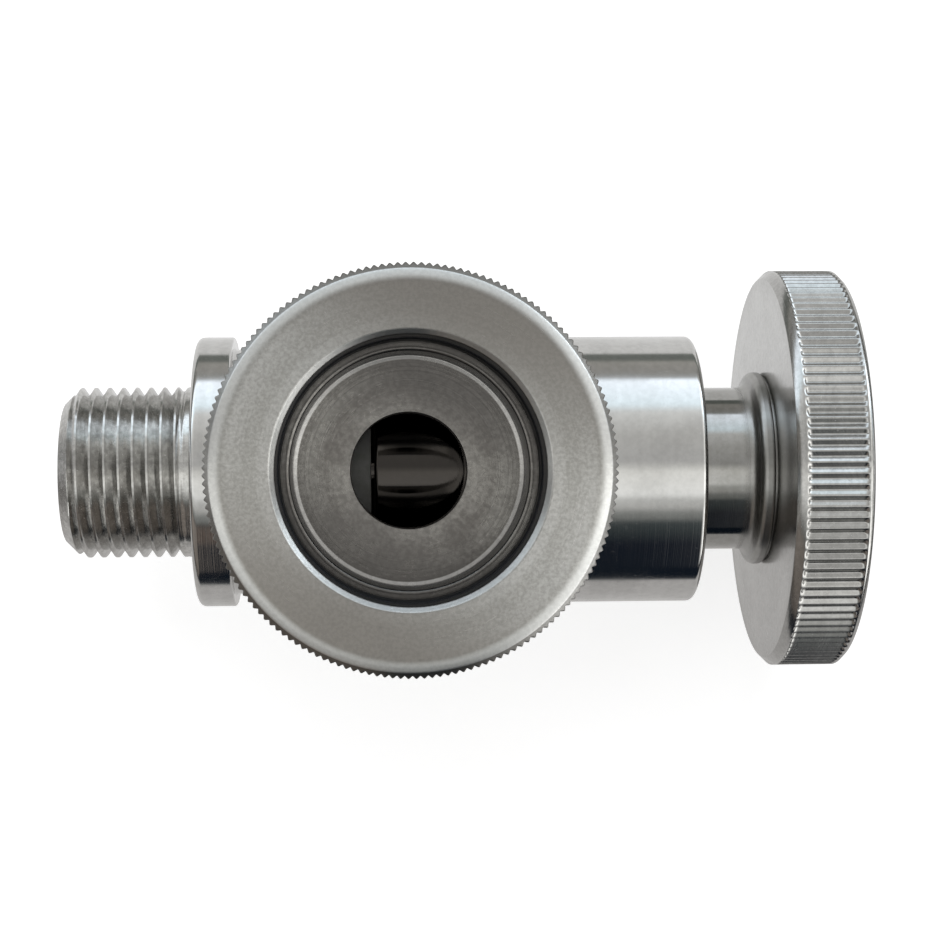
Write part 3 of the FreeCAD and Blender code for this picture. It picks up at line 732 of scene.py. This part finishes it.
def makeBarrel(s):
    mesh = lathe("barrel", [
        (0, s.boreRadius),
        (0, s.collarRadius, s.collarRound),
        (s.collarThick, s.collarRadius, s.collarBackRound),
        (s.collarThick, s.waistRadius, s.waistFillet),
        (s.length, s.waistRadius),
        (s.length, s.threadRadius),
        (s.shoulder, s.threadRadius),
        (s.shoulder, s.chamberRadius),
        (s.chamberStart, s.chamberRadius, s.chamberFillet),
        (s.chamberStart, s.lipRadius, s.lipRound),
        (s.seatPlace, s.lipRadius, s.lipRound),
        (s.seatPlace, s.boreRadius, s.lipRound),
    ])
    mesh = cutAway(mesh, rod(True, s.portRadius, s.portStart, s.portEnd))
    finishPiece("barrel", mesh, polishedSteel, "body", ["valve_body"])
    blank = bpy.data.meshes.new("spigot")
    thread = grow(threadedTube, blank, s, start=s.spigotStart, end=0.0, finish=threadSteel)
    finishPiece("tank_spigot_thread", thread, threadSteel, "body", ["valve_body"])


makeBarrel(Sizes(**barrel))
print("barrel made")


# Upright socket for the sight tube
socket = {
    "portRadius": 5.35, "portRound": 0.12, "neckRadius": 11.6, "neckTop": 14.6, "coreRadius": 12.0,
    "floor": 14.0, "rim": 20.8, "recessRadius": 10.65, "dishRadius": 10.24, "dishRise": 0.15,
    "dishRound": 0.3, "rimRound": 0.28, "bottom": 2.0, "crestRadius": 13.2, "threadDepth": 0.95,
    "pitch": 1.814, "turns": 6, "entryChamfer": 0.8, "exitChamfer": 0.8, "rowsPerTurn": 14,
    "columns": 180, "sharpAngle": 40,
    "saddleRadius": 12.0, "saddleLength": 45.0, "saddleColumns": 256,
}


def makeSocket(s):
    mesh = lathe("socket", [
        (s.bottom, s.portRadius),
        (s.bottom, s.neckRadius),
        (s.neckTop, s.neckRadius),
        (s.neckTop, s.coreRadius),
        (s.rim, s.coreRadius),
        (s.rim, s.recessRadius, s.rimRound),
        (s.floor + s.dishRise, s.recessRadius),
        (s.floor, s.dishRadius, s.dishRound),
        (s.floor, s.portRadius, s.portRound),
    ], upright=True)
    saddle = rod(False, s.saddleRadius, 0.0, s.saddleLength, s.saddleColumns)
    mesh = cutAway(mesh, saddle)
    finishPiece("tube_socket_body", mesh, seatSteel, "body", ["tube_socket"])
    thread = grow(
        threadedTube, bpy.data.meshes.new("socket thread"), s, start=s.neckTop, end=s.rim,
        threadEnd=s.rim + s.pitch, boreRadius=s.coreRadius, finish=satinSteel, **aroundTube,
    )
    finishPiece("tube_socket_thread", thread, satinSteel, "body", ["tube_socket"])


makeSocket(Sizes(**socket))
print("socket made")


# Rubber ring and slip washer under the ring nut
tubeSeal = {
    "gasketBore": 11.45, "outside": 13.2, "rim": 20.8, "washerFoot": 24.4, "washerTop": 25.2,
    "washerBore": 11.6, "gasketBoreRound": 0.35, "gasketRound": 0.3, "washerRound": 0.12,
}


def makeTubeSeal(s):
    gasket = lathe("gasket", [
        (s.rim, s.gasketBore, s.gasketBoreRound),
        (s.rim, s.outside, s.gasketRound),
        (s.washerFoot, s.outside, s.gasketRound),
        (s.washerFoot, s.gasketBore, s.gasketBoreRound),
    ], upright=True)
    finishPiece(
        "tube_gasket_ring", gasket, blackRubber, "tube_seal", ["tube_gasket"],
    )
    washer = lathe("washer", [
        (s.washerFoot, s.washerBore, s.washerRound),
        (s.washerFoot, s.outside, s.washerRound),
        (s.washerTop, s.outside, s.washerRound),
        (s.washerTop, s.washerBore, s.washerRound),
    ], upright=True)
    finishPiece("slip_washer_ring", washer, satinSteel, "tube_seal", ["slip_washer"])


makeTubeSeal(Sizes(**tubeSeal))
print("tube seal made")


# Knurled ring nut
ringNut = {
    "radius": 17.8, "foot": 14.0, "top": 29.0, "innerRadius": 13.25, "lipFoot": 25.2,
    "boreRadius": 11.6, "boreChamfer": 0.5, "boreRound": 0.3, "faceRadius": 16.5, "faceRound": 3.0,
    "bevelRadius": 17.2, "bevelDrop": 0.28, "bevelRound": 0.35, "rimDrop": 0.9, "footChamfer": 0.6,
    "teeth": 164, "toothDepth": 0.29, "crestShare": 0.16, "rootShare": 0.05, "runOut": 0.1,
    "samplesPerTooth": 6, "chamferRows": 9, "arcSteps": 4, "sharpAngle": 28,
}


def rimRows(start, startRadius, end, endRadius, rows):
    # points along a chamfer, so that the teeth run out in it cleanly
    along, out = end - start, endRadius - startRadius
    steps = [i / rows for i in range(1, rows)]
    return [(start + along * step, startRadius + out * step) for step in steps]


def makeRingNut(s):
    rimTop, bevelTop = s.top - s.rimDrop, s.top - s.bevelDrop
    chamferTop, footRadius = s.foot + s.footChamfer, s.radius - s.footChamfer
    corners = [
        (s.foot, s.innerRadius),
        (s.foot, footRadius),
        *rimRows(s.foot, footRadius, chamferTop, s.radius, s.chamferRows),
        (chamferTop, s.radius),
        (rimTop, s.radius),
        *rimRows(rimTop, s.radius, bevelTop, s.bevelRadius, s.chamferRows),
        (bevelTop, s.bevelRadius, s.bevelRound),
        (s.top, s.faceRadius, s.faceRound),
        (s.top, s.boreRadius + s.boreChamfer, s.boreRound),
        (s.top - s.boreChamfer, s.boreRadius, s.boreRound),
        (s.lipFoot, s.boreRadius),
        (s.lipFoot, s.innerRadius),
    ]
    columns = s.teeth * s.samplesPerTooth
    blank = lathe("nut blank", corners, upright=True, columns=columns, arcSteps=s.arcSteps)
    # the teeth run over the whole height, since the chamfers end them
    mesh = grow(nutTeeth, blank, s, bandStart=0.0, bandEnd=s.top * 2, finish=satinSteel)
    finishPiece("ring_nut_knurled", mesh, satinSteel, "clamp_nut", ["ring_nut"])


makeRingNut(Sizes(**ringNut))
print("ring nut made")


# Bonnet and stem
bonnet = {
    "start": 27.3, "face": 33.3, "end": 48.3, "radius": 13.1, "footChamfer": 0.3, "round": 0.6,
    "threadRadius": 10.0, "stemBore": 7.65, "travelStart": 35.7, "travelRadius": 9.1,
    "glandSeat": 42.3, "glandRadius": 10.6, "mouthRound": 0.25, "clipStart": 46.8, "clipEnd": 47.6,
    "clipDeep": 0.6,
}


def makeBonnet(s):
    clipRadius = s.glandRadius + s.clipDeep
    mesh = lathe("bonnet", [
        (s.start, s.stemBore),
        (s.start, s.threadRadius),
        (s.face, s.threadRadius),
        (s.face, s.radius, s.footChamfer),
        (s.end, s.radius, s.round),
        (s.end, s.glandRadius, s.mouthRound),
        (s.clipEnd, s.glandRadius),
        (s.clipEnd, clipRadius),
        (s.clipStart, clipRadius),
        (s.clipStart, s.glandRadius),
        (s.glandSeat, s.glandRadius),
        (s.glandSeat, s.travelRadius),
        (s.travelStart, s.travelRadius),
        (s.travelStart, s.stemBore),
    ])
    finishPiece("bonnet_shell", mesh, polishedSteel, "body", ["bonnet"])


makeBonnet(Sizes(**bonnet))

stem = {
    "tip": 17.1, "plungerRadius": 7.0, "tipRound": 0.4, "plungerFillet": 0.1, "threadStart": 26.2,
    "threadRadius": 7.6, "threadRound": 0.2, "stopStart": 35.8, "stopEnd": 36.8, "stopRadius": 8.8,
    "stopRound": 0.15, "rodRadius": 8.0, "wheelFace": 55.4, "shoulderThick": 1.5,
    "shoulderRadius": 9.5, "fillet": 0.85, "bead": 0.7, "backBead": 0.35, "gap": 0.1,
    "gapRadius": 9.1, "endRadius": 4.0, "endLength": 2.6,
    "shankBore": 2.5, "shankEnd": 26.7, "screwRadius": 3.0, "tapDepth": 11.0, "arcSteps": 8,
}


def makeStem(s):
    shoulder = s.wheelFace - s.shoulderThick
    mesh = lathe("stem", [
        (s.tip, s.shankBore),
        (s.tip, s.plungerRadius, s.tipRound),
        (s.threadStart, s.plungerRadius, s.plungerFillet),
        (s.threadStart, s.threadRadius, s.threadRound),
        (s.stopStart, s.threadRadius),
        (s.stopStart, s.stopRadius, s.stopRound),
        (s.stopEnd, s.stopRadius, s.stopRound),
        (s.stopEnd, s.rodRadius),
        (shoulder, s.rodRadius, s.fillet),
        (shoulder, s.shoulderRadius, s.bead),
        (s.wheelFace - s.gap, s.shoulderRadius, s.backBead),
        (s.wheelFace - s.gap, s.gapRadius),
        (s.wheelFace, s.gapRadius),
        (s.wheelFace, s.endRadius),
        (s.wheelFace + s.endLength, s.endRadius),
        (s.wheelFace + s.endLength, s.screwRadius),
        (s.wheelFace - s.tapDepth, s.screwRadius),
        (s.wheelFace - s.tapDepth, 0),
        (s.shankEnd, 0),
        (s.shankEnd, s.shankBore),
    ], arcSteps=s.arcSteps)
    finishPiece("stem_turned", mesh, stemSteel, "handwheel_stem", ["stem"])


makeStem(Sizes(**stem))
print("bonnet and stem made")


# Fluted handwheel
handwheel = {
    "face": 55.4, "thick": 7.1, "radius": 19.5, "hubRadius": 4.0, "hubDepth": 2.6,
    "holeRadius": 3.3, "headRadius": 5.8, "innerChamfer": 0.75, "innerRound": 0.15,
    "outerChamfer": 0.5, "outerRound": 0.1,
    "teeth": 120, "toothDepth": 0.34, "crestShare": 0.06, "rootShare": 0.04,
    "samplesPerTooth": 12, "innerBand": 0.78, "outerBand": 0.52, "runOut": 0.45, "runOutRows": 5,
    "arcSteps": 3, "sharpAngle": 35,
}


def makeHandwheel(s):
    innerEdge = s.face + s.innerChamfer
    outerFace = s.face + s.thick
    outerEdge = outerFace - s.outerChamfer
    bandStart, bandEnd = s.face + s.innerBand, outerFace - s.outerBand
    rows = []
    for i in range(s.runOutRows + 1):
        step = s.runOut * i / s.runOutRows
        rows += [(bandStart + step, s.radius), (bandEnd - step, s.radius)]
    corners = [
        (s.face, s.hubRadius),
        (s.face, s.radius - s.innerChamfer, s.innerRound),
        (innerEdge, s.radius),
        *sorted(rows),
        (outerEdge, s.radius),
        (outerFace, s.radius - s.outerChamfer, s.outerRound),
        (outerFace, s.headRadius, s.outerRound),
        (outerFace - s.headRadius + s.holeRadius, s.holeRadius),
        (s.face + s.hubDepth, s.holeRadius),
        (s.face + s.hubDepth, s.hubRadius),
    ]
    columns = s.teeth * s.samplesPerTooth
    blank = lathe("wheel blank", corners, columns=columns, arcSteps=s.arcSteps)
    mesh = grow(wheelTeeth, blank, s, bandStart=bandStart, bandEnd=bandEnd, finish=wheelSteel)
    finishPiece(
        "handwheel_fluted", mesh, wheelSteel, "handwheel_stem", ["handwheel"],
    )


makeHandwheel(Sizes(**handwheel))
print("handwheel made")


# Soft disc, seen through the port
disc = {
    "place": 13.1, "thick": 3.7, "radius": 7.0, "frontRound": 0.35, "backRound": 0.2, "bore": 1.55,
    "recessRadius": 5.05, "recess": 0.8,
}


def makeDisc(s):
    back = s.place + s.thick
    mesh = lathe("disc", [
        (s.place, s.bore),
        (s.place, s.radius, s.frontRound),
        (back, s.radius, s.backRound),
        (back, s.recessRadius),
        (back - s.recess, s.recessRadius),
        (back - s.recess, s.bore),
    ])
    finishPiece("seal_disc_face", mesh, paleSeal, "seal_carrier", ["seal_disc"])


makeDisc(Sizes(**disc))

# Pieces that keep their CAD shape
carried = {
    "bonnet_seal": bushPlastic, "gland_bush": bushPlastic, "stem_o_ring": ringRubber,
    # the disc carrier takes the stem steel, and with it the painted shade inside the barrel
    "gland_o_ring": ringRubber, "gland_circlip": fastenerSteel, "disc_carrier": stemSteel,
    "disc_washer": fastenerSteel, "disc_nut": fastenerSteel, "carrier_clip": fastenerSteel,
    "drive_pins": fastenerSteel, "handwheel_screw": screwSteel,
}
for node, material in carried.items():
    dress(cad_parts[node].data, material)
print("carried pieces dressed")


# Floor, backdrop, light and camera
def seenDirectly(tree):
    path = addNode(tree, "ShaderNodeLightPath")
    both = calc(tree, "ADD", path.outputs["Is Camera Ray"], path.outputs["Is Glossy Ray"])
    return calc(tree, "MINIMUM", calc(tree, "ADD", both, path.outputs["Is Transmission Ray"]), 1.0)


studio = {
    "floor": -19.75, "floorHalf": 3000.0, "floorLift": 0.6, "floorGrain": 60, "floorRough": 0.9,
    "floorShine": 0.1, "floorTones": ((0.88, 0.88, 0.88, 1), (0.91, 0.91, 0.905, 1)),
    "worldLight": 0.5, "lampPower": 0.5, "lampPlace": (0, 260, 330), "lampWide": 400,
    "lampDeep": 300,
    "archRadius": 450.0, "archHalf": 2600.0, "archSteps": 80, "ground": -19.6,
    # how the arch's and the ground's light changes along X, in metres
    "gainStart": 0.12, "gainEnd": 0.62, "gainPlus": 2.3, "gainMinus": 1.2,
    "farStart": 0.8, "farEnd": 1.3, "farTone": 0.35,
    "middle": 0.025, "shadeStart": 0.075, "shadeEnd": 0.155, "shade": 0.45,
}
# The arch overhead and the ground under it, from the ground on the +Y side round to the ground
# on the -Y side: degrees from upright and the tone there.
archBands = [
    (180, (0.73, 0.73, 0.72)), (155, (0.86, 0.86, 0.86)), (107.5, (0.86, 0.86, 0.85)),
    (107, (0.19, 0.205, 0.19)), (101.5, (0.19, 0.205, 0.19)), (99.5, (0.46, 0.45, 0.42)),
    (93, (0.42, 0.41, 0.39)), (87.5, (0.42, 0.42, 0.40)), (83.2, (0.50, 0.52, 0.52)),
    (80.8, (1.75, 1.90, 2.08)), (56, (1.33, 1.53, 1.65)), (49, (0.97, 0.98, 0.97)),
    (29, (0.68, 0.68, 0.66)), (6, (0.60, 0.60, 0.59)), (1.4, (0.83, 0.83, 0.80)),
    (-3, (1.13, 1.13, 1.09)), (-21, (1.22, 1.23, 1.21)), (-26, (0.73, 0.74, 0.72)),
    (-32, (0.66, 0.66, 0.64)), (-37, (0.31, 0.32, 0.31)), (-42, (0.25, 0.26, 0.25)),
    (-46, (0.055, 0.068, 0.072)), (-54, (0.037, 0.048, 0.052)), (-66, (0.008, 0.012, 0.021)),
    (-100, (0.008, 0.013, 0.021)), (-103, (0.034, 0.042, 0.05)), (-103.5, (0.57, 0.56, 0.55)),
    (-155, (0.61, 0.60, 0.59)), (-180, (0.73, 0.73, 0.72)),
]
# Cards that cover part of the dark side: degrees where one fades in and out, where it starts
# and is full along X in metres, and its tone.
archCards = [
    ((-41, -50), (-58, -66), (-0.012, -0.020), (0.12, 0.085, 0.07)),
    ((-43, -49), (-97, -103), (-0.038, -0.050), (0.27, 0.24, 0.215)),
    ((-28, -40), (-92, -98), (0.10, 0.35), (1.05, 1.05, 1.03)),
]


def makeFloor(s):
    half, level = s.floorHalf * mm, s.floor * mm
    mesh = bpy.data.meshes.new("floor")
    signs = ((-1, -1), (1, -1), (1, 1), (-1, 1))
    mesh.from_pydata([(x * half, y * half, level) for x, y in signs], [], [(0, 1, 2, 3)])
    material, tree, shader = newMaterial("pale floor")
    place = addNode(tree, "ShaderNodeTexCoord").outputs["Object"]
    grain = noise(tree, place, s.floorGrain, detail=3.0)
    feed(shader.inputs["Base Color"], mixColour(tree, grain, *s.floorTones))
    shader.inputs["Roughness"].default_value = s.floorRough
    shader.inputs["Specular IOR Level"].default_value = s.floorShine
    shader.inputs["Emission Color"].default_value = (1, 1, 1, 1)
    lift = calc(tree, "MULTIPLY", seenDirectly(tree), s.floorLift)
    feed(shader.inputs["Emission Strength"], lift)
    dress(mesh, material)
    floor = newItem("floor", mesh)


# The arch and its ground strips glow and are seen only in reflections on the metal: they paint the
# reflected bands of light and shade, light nothing else and cast no shadow.
def makeArch(s):
    radius, half, ground = s.archRadius * mm, s.archHalf * mm, s.ground * mm
    spring = math.acos(ground / radius)
    profile = [(0, ground)]
    for i in range(s.archSteps + 1):
        angle = spring - 2 * spring * i / s.archSteps
        profile.append((radius * math.sin(angle), radius * math.cos(angle)))
    profile.append((0, ground))
    points = [(x, y, z) for y, z in profile for x in (-half, half)]
    mesh = bpy.data.meshes.new("arch")
    count = len(profile) - 1
    faces = [(2 * i, 2 * i + 1, 2 * i + 3, 2 * i + 2) for i in range(count)]
    mesh.from_pydata(points, [], faces)
    material, tree, shader = newMaterial("arch")
    along, y, z = split(tree, addNode(tree, "ShaderNodeTexCoord").outputs["Object"])
    angle = calc(tree, "ARCTAN2", y, z)
    top, bottom = archBands[0][0], archBands[-1][0]
    share = ramp(tree, angle, math.radians(top), math.radians(bottom), smooth=False)
    colours = addNode(tree, "ShaderNodeValToRGB")
    stops = colours.color_ramp.elements
    peak = max(max(tone) for _, tone in archBands)
    for i, (degrees, tone) in enumerate(archBands):
        spot = (degrees - top) / (bottom - top)
        stop = stops[i] if i < 2 else stops.new(spot)
        stop.position = spot
        stop.color = (*[part / peak for part in tone], 1)
    feed(colours.inputs[0], share)
    colour = colours.outputs[0]
    for fadeIn, fadeOut, span, tone in archCards:
        card = calc(
            tree, "MULTIPLY",
            ramp(tree, angle, *map(math.radians, fadeIn)),
            fade(tree, angle, *map(math.radians, fadeOut)),
        )
        card = calc(tree, "MULTIPLY", card, ramp(tree, along, *span))
        colour = mixColour(tree, card, colour, (*[part / peak for part in tone], 1))
    gain = calc(
        tree, "MULTIPLY",
        ramp(tree, along, s.gainStart, s.gainEnd, peak, peak * s.gainPlus),
        ramp(tree, along, -s.gainStart, -s.gainEnd, 1.0, s.gainMinus),
    )
    away = calc(tree, "ABSOLUTE", calc(tree, "SUBTRACT", along, s.middle))
    far = ramp(tree, away, s.farStart, s.farEnd, 1.0, s.farTone)
    gain = calc(tree, "MULTIPLY", gain, far)
    shade = ramp(tree, away, s.shadeStart, s.shadeEnd, peak, peak * s.shade)
    onGround = calc(tree, "LESS_THAN", z, ground + 0.1 * mm)
    strength = calc(tree, "MULTIPLY_ADD", onGround, calc(tree, "SUBTRACT", shade, gain), gain)
    glow = addNode(tree, "ShaderNodeEmission")
    feed(glow.inputs["Color"], colour)
    feed(glow.inputs["Strength"], strength)
    feed(tree.nodes["Material Output"].inputs["Surface"], glow.outputs[0])
    tree.nodes.remove(shader)
    dress(mesh, material)
    arch = newItem("arch", mesh)
    arch.visible_camera = False
    arch.visible_diffuse = False
    arch.visible_shadow = False


def makeWorld(s):
    world = bpy.data.worlds.new("white room")
    bpy.context.scene.world = world
    world.use_nodes = True
    tree = world.node_tree
    background = tree.nodes["Background"]
    background.inputs["Color"].default_value = (1, 1, 1, 1)
    strength = calc(tree, "MULTIPLY_ADD", seenDirectly(tree), 1 - s.worldLight, s.worldLight)
    feed(background.inputs["Strength"], strength)


def makeLamp(s):
    lamp = bpy.data.lights.new("key", "AREA")
    lamp.shape = "RECTANGLE"
    lamp.size, lamp.size_y = s.lampWide * mm, s.lampDeep * mm
    lamp.energy = s.lampPower
    item = newItem("key", lamp)
    item.location = Vector(s.lampPlace) * mm
    item.rotation_euler = (-item.location).to_track_quat("-Z", "Y").to_euler()
    item.visible_camera = False
    item.visible_glossy = False


view = {
    "place": (17.65, 0.0, 205.0), "aim": (26.55, 0.0, 0.0), "roll": 0.0071,
    "focalPixels": 2075, "framePixels": 940, "sensor": 36.0, "clipStart": 5.0,
}


def cameraTurn(look, right, roll):
    # a rotation whose columns are the camera's right, up and back, turned by the roll
    up = right.cross(look)
    rolledRight = right * math.cos(roll) - up * math.sin(roll)
    rolledUp = right * math.sin(roll) + up * math.cos(roll)
    return Matrix((rolledRight, rolledUp, -look)).transposed()


def makeCamera(s):
    camera = bpy.data.cameras.new("camera")
    camera.sensor_fit = "HORIZONTAL"
    camera.sensor_width = s.sensor
    camera.lens = s.sensor * s.focalPixels / s.framePixels
    camera.clip_start = s.clipStart * mm
    item = newItem("camera", camera)
    item.location = Vector(s.place) * mm
    look = (Vector(s.aim) - Vector(s.place)).normalized()
    right = look.cross(Vector((0, 1, 0))).normalized()
    item.rotation_mode = "QUATERNION"
    item.rotation_quaternion = cameraTurn(look, right, s.roll).to_quaternion()
    bpy.context.scene.camera = item


for make in (makeFloor, makeArch, makeWorld, makeLamp):
    make(Sizes(**studio))
makeCamera(Sizes(**view))
bpy.context.scene.view_settings.view_transform = "Standard"
print("studio made")
